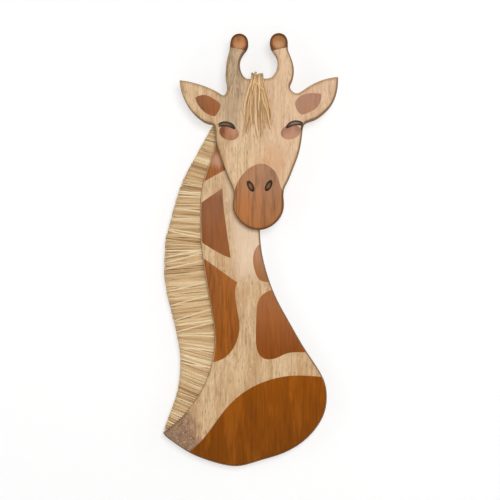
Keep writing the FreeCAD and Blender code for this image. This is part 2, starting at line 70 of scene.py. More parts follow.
def setCamera(setup):
    data = bpy.data.cameras.new("viewCamera")
    data.lens = setup["lens"]
    away = setup["width"] * data.lens / data.sensor_width
    camera = bpy.data.objects.new("viewCamera", data)
    camera.location = (setup["centre"][0], setup["face"] - away, setup["centre"][1])
    camera.rotation_euler = (math.pi / 2, 0, 0)
    bpy.context.collection.objects.link(camera)
    bpy.context.scene.camera = camera


setCamera(cameraSetup)


# small helpers for colours and shader nodes
def paint(red, green, blue):   # linear colour from the 0-255 values of a colour chip
    def linear(value):
        value /= 255
        return value / 12.92 if value <= 0.04045 else ((value + 0.055) / 1.055) ** 2.4
    return (linear(red), linear(green), linear(blue), 1)


def add(tree, kind, inputs=None, **settings):
    node = tree.nodes.new("ShaderNode" + kind)
    for name, value in settings.items():
        setattr(node, name, value)
    for name, value in (inputs or {}).items():
        socket = node.inputs[name]
        if isinstance(value, bpy.types.NodeSocket):
            tree.links.new(value, socket)
        else:
            socket.default_value = value
    return node


def sums(tree, operation, first, second=0.0):
    return add(tree, "Math", {0: first, 1: second}, operation=operation).outputs[0]


def fade(tree, value, start, end):   # 0 at start, 1 at end, soft at both
    inputs = {"Value": value, "From Min": start, "From Max": end}
    return add(tree, "MapRange", inputs, interpolation_type="SMOOTHSTEP").outputs[0]


def blendColour(tree, amount, first, second):
    node = add(tree, "Mix", {0: amount}, data_type="RGBA")
    for socket, value in ((node.inputs[6], first), (node.inputs[7], second)):
        if isinstance(value, bpy.types.NodeSocket):
            tree.links.new(value, socket)
        else:
            socket.default_value = value
    return node.outputs[2]


def place(tree):   # position in the piece, with its three parts
    coordinates = add(tree, "TexCoord").outputs["Object"]
    split = add(tree, "SeparateXYZ", {0: coordinates})
    return coordinates, split.outputs


def streaks(tree, coordinates, across, along, detail=4.0, rough=0.55, bend=0.0, seed=0.0):
    # noise drawn out up the board: across and along are its size in mm
    size = (1 / (across * mm), 1 / (across * mm), 1 / (along * mm))
    shift = (seed, seed * 1.7, seed * 0.6)
    mapped = add(tree, "Mapping", {"Vector": coordinates, "Location": shift, "Scale": size})
    inputs = {"Vector": mapped.outputs[0], "Scale": 1.0,
              "Detail": detail, "Roughness": rough, "Distortion": bend}
    return add(tree, "TexNoise", inputs).outputs["Fac"]


def steps(tree, value, stops):
    node = add(tree, "ValToRGB", {"Fac": value})
    ramp = node.color_ramp
    while len(ramp.elements) < len(stops):
        ramp.elements.new(0.5)
    for element, (position, colour) in zip(ramp.elements, stops):
        element.position = position
        element.color = colour
    return node.outputs["Color"]


def newMaterial(name):
    material = bpy.data.materials.new(name)
    material.use_nodes = True
    tree = material.node_tree
    return material, tree, tree.nodes["Principled BSDF"]


def connect(tree, shader, **links):
    names = {"colour": "Base Color", "rough": "Roughness", "normal": "Normal"}
    for key, socket in links.items():
        tree.links.new(socket, shader.inputs[names[key]])


def finish(shader, **values):   # one value all over the surface
    for name, value in values.items():
        shader.inputs[name.replace("_", " ")].default_value = value


def bumps(tree, height, depth, strength):   # depth in mm
    inputs = {"Height": height, "Distance": depth * mm, "Strength": strength}
    return add(tree, "Bump", inputs).outputs[0]


def product(tree, first, second):
    return sums(tree, "MULTIPLY", first, second)


def centred(tree, noise, amount):   # a noise from 0 to 1 made to swing about 0, in mm
    return product(tree, sums(tree, "SUBTRACT", noise, 0.5), amount * mm)


def inside(tree, *limits):   # 1 where every value is past its full mark, 0 before its start; marks in mm
    masks = [fade(tree, value, start * mm, full * mm) for value, start, full in limits]
    total = masks[0]
    for mask in masks[1:]:
        total = product(tree, total, mask)
    return total


# painted shade over a darker edge stain: rounded and sawn sides go dark as they turn away from the front,
# soonest below and on the right
edgeShade = {"below": 0.4, "right": 0.26, "start": 0.88, "full": 0.58}


def edgeStainAndShade(tree, colour, edge, amount):
    normal = add(tree, "SeparateXYZ", {0: add(tree, "NewGeometry").outputs["Normal"]})
    flat = sums(tree, "ABSOLUTE", normal.outputs["Y"])
    lean = sums(tree, "SUBTRACT", product(tree, normal.outputs["Z"], edgeShade["below"]),
                product(tree, normal.outputs["X"], edgeShade["right"]))
    front = sums(tree, "ADD", lean, flat)
    # painted shade: the further a side turns from the front, the more of the edge tone it takes
    turned = fade(tree, front, edgeShade["start"], edgeShade["full"])
    return blendColour(tree, product(tree, turned, amount), colour, edge)


def distance(tree, parts, x, z):   # across the face, from a point given in mm
    dx = sums(tree, "SUBTRACT", parts["X"], x * mm)
    dz = sums(tree, "SUBTRACT", parts["Z"], z * mm)
    return sums(tree, "SQRT", sums(tree, "ADD", product(tree, dx, dx), product(tree, dz, dz))), dx, dz


# grain: each noise has its size across and along in mm, detail, roughness, bend and seed; each blend
# lays a tone where its noise passes from start to full, up to an amount
paleGrain = {
    "noises": {"drift": (30, 170, 2, 0.55, 0.6, 0), "patches": (11, 24, 3, 0.6, 1.0, 9),
               "figure": (5.2, 62, 4, 0.62, 1.5, 1), "lines": (2.6, 34, 3, 0.6, 0.5, 5),
               "pores": (1.1, 9, 2, 0.5, 0.0, 2)},
    "blends": (("patches", 0.52, 0.68, 0.4, "light"), ("figure", 0.5, 0.68, 0.5, "brown"),
               ("figure", 0.46, 0.3, 0.45, "light"), ("lines", 0.52, 0.7, 0.5, "brown"),
               ("lines", 0.44, 0.28, 0.4, "light"), ("pores", 0.56, 0.7, 0.55, "pore")),
}
darkGrain = {
    "noises": {"drift": (16, 90, 2, 0.55, 0.6, 0), "figure": (4.2, 60, 4, 0.6, 0.9, 4),
               "lines": (2.2, 30, 3, 0.6, 0.0, 7)},
    "blends": (("drift", 0.5, 0.72, 0.25, "streak"), ("drift", 0.52, 0.38, 0.28, "glow"),
               ("figure", 0.5, 0.68, 0.42, "streak"), ("figure", 0.46, 0.3, 0.3, "glow"),
               ("lines", 0.54, 0.7, 0.3, "streak")),
}


def growNoises(tree, where, grain, seed):
    noises = {}
    for name, (across, along, detail, rough, bend, shift) in grain["noises"].items():
        noises[name] = streaks(tree, where, across, along, detail, rough, bend, seed + shift)
    return noises


def layGrain(tree, grain, noises, tones, colour, depth=1.0):
    for name, start, full, amount, tone in grain["blends"]:
        mask = product(tree, fade(tree, noises[name], start, full), amount * depth)
        colour = blendColour(tree, mask, colour, tones[tone])
    return colour


# pale mango wood of the two boards; a bump is its depth in mm and its strength
paleWood = {
    "cream": paint(224, 188, 142), "tan": paint(204, 160, 110), "brown": paint(164, 116, 70),
    # edge: the tone of the turned sides, a darker stain with painted shade
    "light": paint(240, 212, 168), "pore": paint(132, 92, 52), "edge": paint(104, 78, 52),
    "base": (0.35, 0.62), "edgeShadeAmount": 0.75,
    "pits": (0.56, 0.7), "bump": (0.12, 0.6), "rough": (0.38, 0.2),
    "headSeed": 3, "neckSeed": 8,
}
# stains on the boards; a pair of marks says where a tone starts and where it is full, in mm
# grey sapwood down the left of the head
greyStripe = {"tone": paint(166, 136, 98), "right": (4, -10), "left": (-46, -30), "height": (-75, -10),
              "waver": 50, "amount": 0.45, "striped": 0.45, "stripes": (0.4, 0.62)}
# wavy figure of the left horn
wavyHorn = {"dark": paint(122, 92, 62), "pale": paint(212, 176, 122),
            "size": (3.4, 26), "bend": 2.0, "seed": 31,
            "height": (-12, 14), "right": (0, -8), "left": (-34, -26),
            "darkWaves": (0.5, 0.62), "paleWaves": (0.46, 0.36), "amount": 0.65}
# warm stain above the muzzle and a rosy right cheek
amberStain = {"tone": paint(206, 146, 78), "middle": (34, -82), "reach": (34, 6),
              "waver": 50, "amount": 0.6}
rosyCheek = {"tone": paint(216, 166, 128), "right": (16, 44), "waver": 40, "amount": 0.35}
# pale stripe down the middle of the neck, partly the wood's pale heart and partly painted light that lifts
# the shade the head casts there, and the curly stain on its foot
paleStripeAndLight = {"tone": paint(244, 216, 184), "width": (34, 8), "height": (-262, -215),
              "waver": 30, "amount": 0.7}
footStain = {"tone": paint(160, 120, 94), "dark": paint(94, 62, 50), "slope": 0.5, "corner": (-282, -306),
             "waver": 50, "size": (5.5, 9), "bend": 4.5, "seed": 21,
             "darkCurls": (0.42, 0.6), "paleCurls": (0.44, 0.32), "paleAmount": 0.8, "amount": 0.8}
# the two carved lids, painted shade darkest on the walls of their grooves and the bottoms paler where light
# reaches them, the left darker than the right: crown, left and right end, and the tone of the bottom
shadedLids = {
    "lids": ((-27.3, -28.4, -38, -10, paint(104, 84, 58)), (66.3, -27, 48, 77, paint(136, 110, 92))),
    "grooveShade": paint(66, 48, 30), "radius": 16, "groove": (6.0, 4.6), "above": (2.5, 4), "ends": 1,
    "face": (-34.95, -34.6), "back": (-31.5, -32), "bottom": (-33.636, -32.8), "bottomAmount": 0.85,
}


def shadeLids(tree, parts, colour):
    lids = shadedLids
    sunk = inside(tree, (parts["Y"], *lids["face"]), (parts["Y"], *lids["back"]))
    bottom = product(tree, inside(tree, (parts["Y"], *lids["bottom"])), lids["bottomAmount"])
    for x, z, left, right, bottomTone in lids["lids"]:
        away, dx, dz = distance(tree, parts, x, z - lids["radius"])
        off = sums(tree, "ABSOLUTE", sums(tree, "SUBTRACT", away, lids["radius"] * mm))
        onLid = inside(tree, (off, *lids["groove"]), (dz, *lids["above"]),
                       (parts["X"], left - lids["ends"], left), (parts["X"], right + lids["ends"], right))
        # painted shade on the groove walls, painted light on the groove bottom
        tone = blendColour(tree, bottom, lids["grooveShade"], bottomTone)
        colour = blendColour(tree, product(tree, onLid, sunk), colour, tone)
    return colour


def stainHead(tree, where, parts, noises, colour):
    drifting = sums(tree, "ADD", parts["X"], centred(tree, noises["drift"], greyStripe["waver"]))
    grey = inside(tree, (drifting, *greyStripe["right"]), (parts["Z"], *greyStripe["height"]),
                  (drifting, *greyStripe["left"]))
    stripes = product(tree, fade(tree, noises["figure"], *greyStripe["stripes"]), greyStripe["striped"])
    striped = sums(tree, "ADD", greyStripe["amount"], stripes)
    colour = blendColour(tree, product(tree, grey, striped), colour, greyStripe["tone"])

    waves = streaks(tree, where, *wavyHorn["size"], rough=0.65,
                    bend=wavyHorn["bend"], seed=wavyHorn["seed"])
    horn = inside(tree, (parts["Z"], *wavyHorn["height"]), (drifting, *wavyHorn["right"]),
                  (parts["X"], *wavyHorn["left"]))
    dark = product(tree, horn, fade(tree, waves, *wavyHorn["darkWaves"]))
    colour = blendColour(tree, product(tree, dark, wavyHorn["amount"]), colour, wavyHorn["dark"])
    pale = product(tree, horn, fade(tree, waves, *wavyHorn["paleWaves"]))
    colour = blendColour(tree, pale, colour, wavyHorn["pale"])

    away = distance(tree, parts, *amberStain["middle"])[0]
    away = sums(tree, "ADD", away, centred(tree, noises["patches"], amberStain["waver"]))
    warm = product(tree, inside(tree, (away, *amberStain["reach"])), amberStain["amount"])
    colour = blendColour(tree, warm, colour, amberStain["tone"])

    across = sums(tree, "ADD", parts["X"], centred(tree, noises["drift"], rosyCheek["waver"]))
    rosy = product(tree, inside(tree, (across, *rosyCheek["right"])), rosyCheek["amount"])
    return blendColour(tree, rosy, colour, rosyCheek["tone"])


def stainNeck(tree, where, parts, noises, colour):
    # partly painted light: lifts the neck where the head's shade falls on it
    across = sums(tree, "ADD", parts["X"], centred(tree, noises["drift"], paleStripeAndLight["waver"]))
    stripe = inside(tree, (sums(tree, "ABSOLUTE", across), *paleStripeAndLight["width"]),
                    (parts["Z"], *paleStripeAndLight["height"]))
    colour = blendColour(tree, product(tree, stripe, paleStripeAndLight["amount"]), colour, paleStripeAndLight["tone"])

    corner = sums(tree, "ADD", parts["X"], product(tree, parts["Z"], footStain["slope"]))
    corner = sums(tree, "ADD", corner, centred(tree, noises["patches"], footStain["waver"]))
    curls = streaks(tree, where, *footStain["size"], rough=0.6,
                    bend=footStain["bend"], seed=footStain["seed"])
    dark = fade(tree, curls, *footStain["darkCurls"])
    pale = product(tree, fade(tree, curls, *footStain["paleCurls"]), footStain["paleAmount"])
    blotch = blendColour(tree, dark, footStain["tone"], footStain["dark"])
    blotch = blendColour(tree, pale, blotch, paleWood["tan"])
    stained = product(tree, inside(tree, (corner, *footStain["corner"])), footStain["amount"])
    return blendColour(tree, stained, colour, blotch)


def boardWood(name, wood, head):
    material, tree, shader = newMaterial(name)
    where, parts = place(tree)
    noises = growNoises(tree, where, paleGrain, wood["headSeed"] if head else wood["neckSeed"])
    tan, cream = wood["base"]
    colour = steps(tree, noises["drift"], [(tan, wood["tan"]), (cream, wood["cream"])])
    colour = layGrain(tree, paleGrain, noises, wood, colour)
    stain = stainHead if head else stainNeck
    colour = stain(tree, where, parts, noises, colour)
    colour = edgeStainAndShade(tree, colour, wood["edge"], wood["edgeShadeAmount"])
    if head:
        colour = shadeLids(tree, parts, colour)
    pits = fade(tree, noises["pores"], *wood["pits"])
    grain = sums(tree, "SUBTRACT", noises["lines"], pits)
    least, more = wood["rough"]
    rough = sums(tree, "ADD", least, product(tree, noises["lines"], more))
    connect(tree, shader, colour=colour, rough=rough, normal=bumps(tree, grain, *wood["bump"]))
    finish(shader, Coat_Weight=0.25, Coat_Roughness=0.32, Specular_IOR_Level=0.35)
    return material


# red-brown wood let in for the spots, ears, eyes, muzzle and horn tips; each piece has its own tone, from
# its top to its bottom, and the depth of its streaks; the paler, hazier tops of the spots are painted
# reflection of the light above, and the darker tops of the eyes are painted shade under the lids
darkWood = {
    # edge: the tone of the turned sides, a darker stain with painted shade
    "edge": paint(92, 62, 38), "streak": paint(84, 40, 6), "glow": paint(204, 116, 34),
    "edgeShadeAmount": 0.7, "waver": 40, "bump": (0.08, 0.5), "rough": (0.34, 0.2), "seedStep": 1.3,
    "pieces": {
        "neck_spot_nape": (paint(184, 120, 72), paint(168, 98, 44), 0.7),
        "neck_spot_upper": (paint(150, 96, 66), paint(150, 88, 44), 0.6),
        "neck_spot_middle": (paint(168, 100, 46), paint(152, 84, 24), 1.0),
        "neck_spot_throat": (paint(184, 132, 96), paint(168, 110, 66), 0.5),
        "neck_spot_side": (paint(174, 108, 64), paint(144, 74, 20), 0.6),
        "neck_spot_chest": (paint(150, 78, 0), paint(130, 68, 0), 0.8),
        "ear_inlay_left": (paint(152, 94, 58), paint(140, 82, 46), 0.7),
        "ear_inlay_right": (paint(172, 122, 94), paint(170, 120, 92), 0.4),
        "eye_inlay_left": (paint(140, 78, 48), paint(176, 118, 80), 0.9),
        "eye_inlay_right": (paint(150, 104, 80), paint(186, 138, 110), 0.5),
        "muzzle": (paint(176, 126, 90), paint(176, 112, 62), 1.0),
        "horn_tip_left": (paint(150, 90, 48), paint(182, 126, 80), 0.9),
        "horn_tip_right": (paint(146, 92, 26), paint(184, 126, 74), 0.7),
    },
    # painted reflection: a pinkish haze of glare where the lacquer catches the light: middle, reach and
    # strength
    "glareTone": paint(214, 164, 134), "glareHeart": 3, "glareWaver": 12,
    "glares": {"neck_spot_nape": (-40, -77, 15, 0.75), "neck_spot_upper": (-36, -108, 26, 0.3),
               "neck_spot_throat": (18, -200, 30, 0.2), "neck_spot_middle": (-46, -212, 16, 0.25),
               "eye_inlay_left": (-17, -36, 14, 0.5)},
}
# painted shade: dark walls round the nostrils' scoops, with the bottom of each scoop left paler as painted
# light
shadedNostrils = {
    "walls": paint(46, 34, 26), "bottom": paint(136, 106, 84), "amount": 0.92, "bottomAmount": 0.75,
    "limits": (("Z", -98, -101), ("Z", -129, -126), ("X", -8, -4), ("X", 44, 40),
               ("Y", -34.95, -34.5), ("Y", -29, -30)),
    "bottomDepth": (-32.2, -31.1),
}
# the two knobs: darker round the rim, paler in the middle and towards the horn
hornKnobs = {
    "middles": {"horn_tip_left": (-10, 83.5), "horn_tip_right": (44.4, 84.5)},
    "paleMiddle": paint(214, 156, 104), "paleMiddleBelow": 4, "paleMiddleReach": (9, 1), "paleMiddleAmount": 0.5,
    "rim": paint(106, 62, 26), "rimReach": (6.5, 11.5), "rimAmount": 0.85,
}


def paintGlare(tree, parts, node, noises, wood, colour):
    x, z, reach, amount = wood["glares"][node]
    away = distance(tree, parts, x, z)[0]
    away = sums(tree, "ADD", away, centred(tree, noises["figure"], wood["glareWaver"]))
    # painted reflection: pinkish glare laid round a point on the piece
    mask = product(tree, inside(tree, (away, reach, wood["glareHeart"])), amount)
    return blendColour(tree, mask, colour, wood["glareTone"])


def shadeNostrils(tree, parts, colour):
    nostrilShade = shadedNostrils
    near = inside(tree, *[(parts[socket], start, full) for socket, start, full in nostrilShade["limits"]])
    bottom = inside(tree, (parts["Y"], *nostrilShade["bottomDepth"]))
    bottom = product(tree, bottom, nostrilShade["bottomAmount"])
    # painted shade on the walls of the scoop, painted light on its bottom
    tone = blendColour(tree, bottom, nostrilShade["walls"], nostrilShade["bottom"])
    return blendColour(tree, product(tree, near, nostrilShade["amount"]), colour, tone)


def toneKnob(tree, parts, node, colour):
    knobs = hornKnobs
    x, z = knobs["middles"][node]
    away = distance(tree, parts, x, z - knobs["paleMiddleBelow"])[0]
    paleMiddle = product(tree, inside(tree, (away, *knobs["paleMiddleReach"])), knobs["paleMiddleAmount"])
    colour = blendColour(tree, paleMiddle, colour, knobs["paleMiddle"])
    away = distance(tree, parts, x, z)[0]
    rim = product(tree, inside(tree, (away, *knobs["rimReach"])), knobs["rimAmount"])
    return blendColour(tree, rim, colour, knobs["rim"])


def inlayWood(node, wood, seed):
    top, bottom, depth = wood["pieces"][node]
    low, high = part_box(node)
    material, tree, shader = newMaterial(node + "Wood")
    where, parts = place(tree)
    noises = growNoises(tree, where, darkGrain, seed)
    # painted reflection and shade: each piece runs from its top tone down to its bottom tone
    height = sums(tree, "ADD", parts["Z"], centred(tree, noises["drift"], wood["waver"]))
    colour = blendColour(tree, fade(tree, height, high[2], low[2]), top, bottom)
    colour = layGrain(tree, darkGrain, noises, wood, colour, depth)
    if node in wood["glares"]:
        colour = paintGlare(tree, parts, node, noises, wood, colour)
    if node == "muzzle":
        colour = shadeNostrils(tree, parts, colour)
    if node in hornKnobs["middles"]:
        colour = toneKnob(tree, parts, node, colour)
    if node.startswith("eye"):
        colour = shadeLids(tree, parts, colour)
    colour = edgeStainAndShade(tree, colour, wood["edge"], wood["edgeShadeAmount"])
    least, more = wood["rough"]
    rough = sums(tree, "ADD", least, product(tree, noises["lines"], more))
    grain = bumps(tree, noises["lines"], *wood["bump"])
    connect(tree, shader, colour=colour, rough=rough, normal=grain)
    finish(shader, Coat_Weight=0.18, Coat_Roughness=0.26, Specular_IOR_Level=0.12,
           Specular_Tint=paint(255, 180, 100))
    return material


def dress(node, material):
    nodes[node].data.materials.clear()
    nodes[node].data.materials.append(material)


def dressWood():
    dress("neck_board", boardWood("neck_boardWood", paleWood, head=False))
    dress("head_board", boardWood("head_boardWood", paleWood, head=True))
    for count, node in enumerate(darkWood["pieces"]):
        dress(node, inlayWood(node, darkWood, darkWood["seedStep"] * count))


dressWood()
print("boards and inlays finished")


# raw ply, dowels, metal and felt: two tones of each, and what is made of it
hardware = {
    "plyWood": (paint(190, 152, 106), paint(146, 104, 66), ("mane_backing",)),
    "beechDowel": (paint(206, 166, 118), paint(170, 126, 82), ("horn_dowels", "muzzle_dowels")),
    "zincSteel": (paint(150, 150, 146), paint(206, 206, 200),
                  ("head_screws", "muzzle_screws", "mane_tacks", "forelock_staple", "hanger_strap",
                   "hanger_screws", "hanger_ring")),
    "feltPad": (paint(38, 32, 28), paint(92, 82, 72), ("wall_pad_left", "wall_pad_right")),
}
# how each is drawn: sizes of its noises across and along in mm, and where its second tone starts and ends
rawFigure = {"figure": (6, 60), "bend": 1.0, "figureSeed": 6, "turn": (0.35, 0.7),
             "fibre": (1.2, 18), "detail": 3, "fibreSeed": 9, "dark": (0.5, 0.7), "amount": 0.4,
             "bump": (0.15, 0.8), "rough": 0.75}
metalSkin = {"cloud": (1.5, 1.5), "detail": 5, "broken": 0.7, "scratch": (0.15, 4), "scratchDetail": 2,
             "turn": (0.3, 0.7), "rough": (0.28, 0.25), "bump": (0.02, 0.5)}
feltFuzz = {"fuzz": (0.35, 0.35), "detail": 5, "broken": 0.8, "turn": (0.3, 0.75),
            "bump": (0.4, 1.0), "rough": 0.95, "sheen": 0.3}


def rawWood(name, pale, dark):
    material, tree, shader = newMaterial(name)
    where = place(tree)[0]
    wood = rawFigure
    figure = streaks(tree, where, *wood["figure"], bend=wood["bend"], seed=wood["figureSeed"])
    fibre = streaks(tree, where, *wood["fibre"], detail=wood["detail"], seed=wood["fibreSeed"])
    colour = steps(tree, figure, list(zip(wood["turn"], (pale, dark))))
    fibres = product(tree, fade(tree, fibre, *wood["dark"]), wood["amount"])
    colour = blendColour(tree, fibres, colour, dark)
    connect(tree, shader, colour=colour, normal=bumps(tree, fibre, *wood["bump"]))
    finish(shader, Roughness=wood["rough"])
    return material


def dullMetal(name, dark, pale):
    material, tree, shader = newMaterial(name)
    where = place(tree)[0]
    skin = metalSkin
    cloudy = streaks(tree, where, *skin["cloud"], detail=skin["detail"], rough=skin["broken"])
    scratch = streaks(tree, where, *skin["scratch"], detail=skin["scratchDetail"])
    colour = steps(tree, cloudy, list(zip(skin["turn"], (dark, pale))))
    least, more = skin["rough"]
    rough = sums(tree, "ADD", least, product(tree, cloudy, more))
    connect(tree, shader, colour=colour, rough=rough, normal=bumps(tree, scratch, *skin["bump"]))
    finish(shader, Metallic=1.0)
    return material


def pressedFelt(name, dark, pale):
    material, tree, shader = newMaterial(name)
    where = place(tree)[0]
    felt = feltFuzz
    fuzz = streaks(tree, where, *felt["fuzz"], detail=felt["detail"], rough=felt["broken"])
    colour = steps(tree, fuzz, list(zip(felt["turn"], (dark, pale))))
    connect(tree, shader, colour=colour, normal=bumps(tree, fuzz, *felt["bump"]))
    finish(shader, Roughness=felt["rough"], Sheen_Weight=felt["sheen"])
    return material


def dressHardware():
    makers = {"zincSteel": dullMetal, "feltPad": pressedFelt}
    for name, (first, second, pieces) in hardware.items():
        make = makers.get(name, rawWood)
        material = make(name, first, second)
        for node in pieces:
            dress(node, material)


dressHardware()
print("ply, hanger and pads finished")


# stalks: tubes that carry their own tone
class Stalks:
    def __init__(self, name):
        self.name, self.points, self.faces, self.tones, self.reach = name, [], [], [], []

    def addStalk(self, path, radii, tone, sides, flat=1.0):
        start = len(self.points)
        path = [Vector(point) for point in path]
        across = Vector((0, 1, 0))
        for n, point in enumerate(path):
            ahead = (path[min(n + 1, len(path) - 1)] - path[max(n - 1, 0)]).normalized()
            across = (across - ahead * across.dot(ahead)).normalized()
            other = ahead.cross(across)
            for side in range(sides):
                turn = 2 * math.pi * side / sides
                offset = across * math.cos(turn) * flat + other * math.sin(turn)
                self.points.append(point + offset * radii[n])
                self.tones.append(tone)
                self.reach.append(n / (len(path) - 1))
        for n in range(len(path) - 1):
            for side in range(sides):
                a = start + n * sides + side
                b = start + n * sides + (side + 1) % sides
                self.faces.append((a, a + sides, b + sides, b))
        last = start + (len(path) - 1) * sides
        self.faces.append([start + side for side in range(sides)])
        self.faces.append([last + side for side in reversed(range(sides))])

    def makePiece(self, material):
        mesh = bpy.data.meshes.new(self.name)
        mesh.from_pydata(self.points, [], self.faces)
        for label, values in (("tone", self.tones), ("reach", self.reach)):
            mesh.attributes.new(label, "FLOAT", "POINT").data.foreach_set("value", values)
        mesh.polygons.foreach_set("use_smooth", [len(face) == 4 for face in self.faces])
        mesh.materials.append(material)
        piece = bpy.data.objects.new(self.name, mesh)
        bpy.context.collection.objects.link(piece)
        return piece


# what straw and raffia share: fine dark fibres, and painted shade towards the roots, where the stalks go in
# under the wood, darkest on the dark stalks
dryFibre = {"detail": 3.0, "marks": (0.5, 0.7), "amount": 0.3, "bump": (0.1, 0.6),
            "darkStalks": (0.6, 0.3), "leastShade": 0.6}


def dryStraw(name, straw):
    material, tree, shader = newMaterial(name)
    where, parts = place(tree)
    tone = add(tree, "Attribute", attribute_name="tone").outputs["Fac"]
    reach = add(tree, "Attribute", attribute_name="reach").outputs["Fac"]
    size = tuple(1 / (value * mm) for value in straw["fibre"])
    mapped = add(tree, "Mapping", {"Vector": where, "Scale": size})
    inputs = {"Vector": mapped.outputs[0], "Scale": 1.0, "Detail": dryFibre["detail"]}
    lines = add(tree, "TexNoise", inputs).outputs["Fac"]
    colour = steps(tree, tone, straw["tones"])
    fibres = product(tree, fade(tree, lines, *dryFibre["marks"]), dryFibre["amount"])
    colour = blendColour(tree, fibres, colour, straw["line"])
    # painted shade: darker towards the root of each stalk
    shadedRoots = product(tree, fade(tree, reach, straw["rootEnd"], 0.0), straw["rootShade"])
    darkStalk = sums(tree, "ADD", dryFibre["leastShade"], fade(tree, tone, *dryFibre["darkStalks"]))
    shadedRoots = product(tree, shadedRoots, darkStalk)
    colour = blendColour(tree, shadedRoots, colour, straw["root"])
    connect(tree, shader, colour=colour, normal=bumps(tree, lines, *dryFibre["bump"]))
    finish(shader, Roughness=0.5, Specular_IOR_Level=0.4, Sheen_Weight=0.1)
    return material


# mane: straws in bundles, laid in layers across the ply and tucked under the neck board; mm and degrees
maneSetup = {
    # depth, stalk radius, pitch and looseness
    "layers": ((-9.9, 1.5, 1.9, 0), (-11.3, 1.45, 2.5, 0.4),
               (-12.6, 1.4, 2.5, 1.0), (-13.7, 1.25, 2.55, 1.0)),
    "top": -22, "bottom": -456,
    "clear": 100,                # how far right of the mane the search for its inner edge starts
    # height down the mane, and how steeply straws climb outward there
    "rise": ((-24, 15), (-63, 15), (-84, 16), (-105, 16), (-119, 9), (-135, 3), (-160, 2), (-180, 2),
             (-200, -3), (-225, -7), (-262, -8), (-286, -10), (-303, -7), (-318, -1), (-332, 5), (-352, 14),
             (-380, 20), (-422, 24), (-456, 27)),
    # a bundle: how many stalks, its lean, trim, shade and the gap above it
    "bundle": {"stalks": (3, 7), "lean": 1.8, "trim": 0.9, "shade": 0.2, "gaps": (0, 0.4, 0.8, 1.5)},
    "underTrim": 0.6,                                   # the lowest layer stays back from the edge
    # a stalk in its bundle
    "stalk": {"pitch": (0.88, 1.1), "lean": 1.0, "trim": 0.3, "tone": 0.56, "toneSpread": 0.2,
              "tuck": 1.5, "shortest": 2.5, "sag": 0.7, "drift": 0.3,
              "taper": 0.12, "thickness": (0.97, 1.03),
              "points": 8, "sides": 7, "holeSkip": 0.05},
    # single pale straws lying over the rest: height at the root, and climb
    "strays": ((-122, 3), (-150, 8), (-181, 9), (-186, 12), (-199, -12), (-203, -15), (-214, -13),
               (-243, -14), (-262, -15), (-281, -17), (-300, -14), (-343, 6), (-366, 9), (-436.5, 24)),
    "stray": {"depth": -14.3, "radius": 1.2, "tone": 0.95, "trim": 1.5},
    "straw": {
        "tones": [(0.0, paint(168, 130, 82)), (0.3, paint(208, 170, 120)), (0.65, paint(232, 200, 152)),
                  (1.0, paint(250, 230, 190))],
        "line": paint(178, 138, 84), "root": paint(122, 88, 42), "rootEnd": 0.28, "rootShade": 0.5,
        "fibre": (22, 0.8, 0.5),
    },
}


def solidOf(node):
    mesh = nodes[node].data
    corners = [vertex.co.copy() for vertex in mesh.vertices]
    return BVHTree.FromPolygons(corners, [face.vertices[:] for face in mesh.polygons])


# start is a point right of the mane, at the root's height and depth
def layStraw(stalks, solid, start, climb, trim, radius, tone, dice):
    stalk = maneSetup["stalk"]
    inner = solid.ray_cast(Vector(start), Vector((-1, 0, 0)))[0]
    if inner is None:
        return
    outward = Vector((-math.cos(climb), 0, math.sin(climb)))
    root = inner + Vector((-stalk["tuck"] * mm, 0, 0))
    end = root
    reached = solid.ray_cast(root, outward)[0]
    while reached is not None:   # past the tack holes, to the trimmed edge
        end = reached
        reached = solid.ray_cast(end + outward * stalk["holeSkip"] * mm, outward)[0]
    if (end - root).length < stalk["shortest"] * mm:
        return
    length = (end - root).length - trim * mm
    sag = dice.uniform(-stalk["sag"], stalk["sag"]) * mm
    drift = dice.uniform(-stalk["drift"], stalk["drift"]) * mm
    path, radii = [], []
    for n in range(stalk["points"]):
        part = n / (stalk["points"] - 1)
        bow = math.sin(math.pi * part)
        path.append(root + outward * length * part + Vector((0, drift * bow, sag * bow)))
        radii.append(radius * mm * (1 - stalk["taper"] * part) * dice.uniform(*stalk["thickness"]))
    stalks.addStalk(path, radii, min(1, max(0, tone)), stalk["sides"])


def layBundles(stalks, solid, edge, layer, setup, dice):
    depth, radius, pitch, loose = layer
    bundle, stalk = setup["bundle"], setup["stalk"]
    heights, climbs = zip(*reversed(setup["rise"]))
    z = setup["top"]
    left, lean, trim, shade = 0, 0, 0, 0
    while z > setup["bottom"]:
        if left == 0:
            left = dice.randint(*bundle["stalks"])
            lean = dice.gauss(0, bundle["lean"]) * loose
            trim = dice.uniform(0, bundle["trim"]) + (setup["underTrim"] if loose == 0 else 0)
            shade = dice.uniform(-bundle["shade"], bundle["shade"])
            z -= dice.choice(bundle["gaps"]) * loose
        left -= 1
        z -= pitch * dice.uniform(*stalk["pitch"])
        climb = float(np.interp(z, heights, climbs)) + lean + dice.gauss(0, stalk["lean"]) * loose
        tone = stalk["tone"] + shade + dice.gauss(0, stalk["toneSpread"])
        cut = trim + dice.uniform(-stalk["trim"], stalk["trim"])
        start = (edge, depth * mm, z * mm)
        layStraw(stalks, solid, start, math.radians(climb), cut, radius, tone, dice)


def layMane(setup):
    dice = random.Random(11)
    solid = solidOf("mane_straw")
    stalks = Stalks("strawMane")
    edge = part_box("mane_straw")[1][0] + setup["clear"] * mm
    for layer in setup["layers"]:
        layBundles(stalks, solid, edge, layer, setup, dice)
    stray = setup["stray"]
    for z, climb in setup["strays"]:
        trim = dice.uniform(0, stray["trim"])
        start = (edge, stray["depth"] * mm, z * mm)
        layStraw(stalks, solid, start, math.radians(climb), trim, stray["radius"], stray["tone"], dice)
    piece = stalks.makePiece(dryStraw("maneStraw", setup["straw"]))
    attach(piece, "plaque")
    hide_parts("mane_straw")


layMane(maneSetup)
print("mane laid")

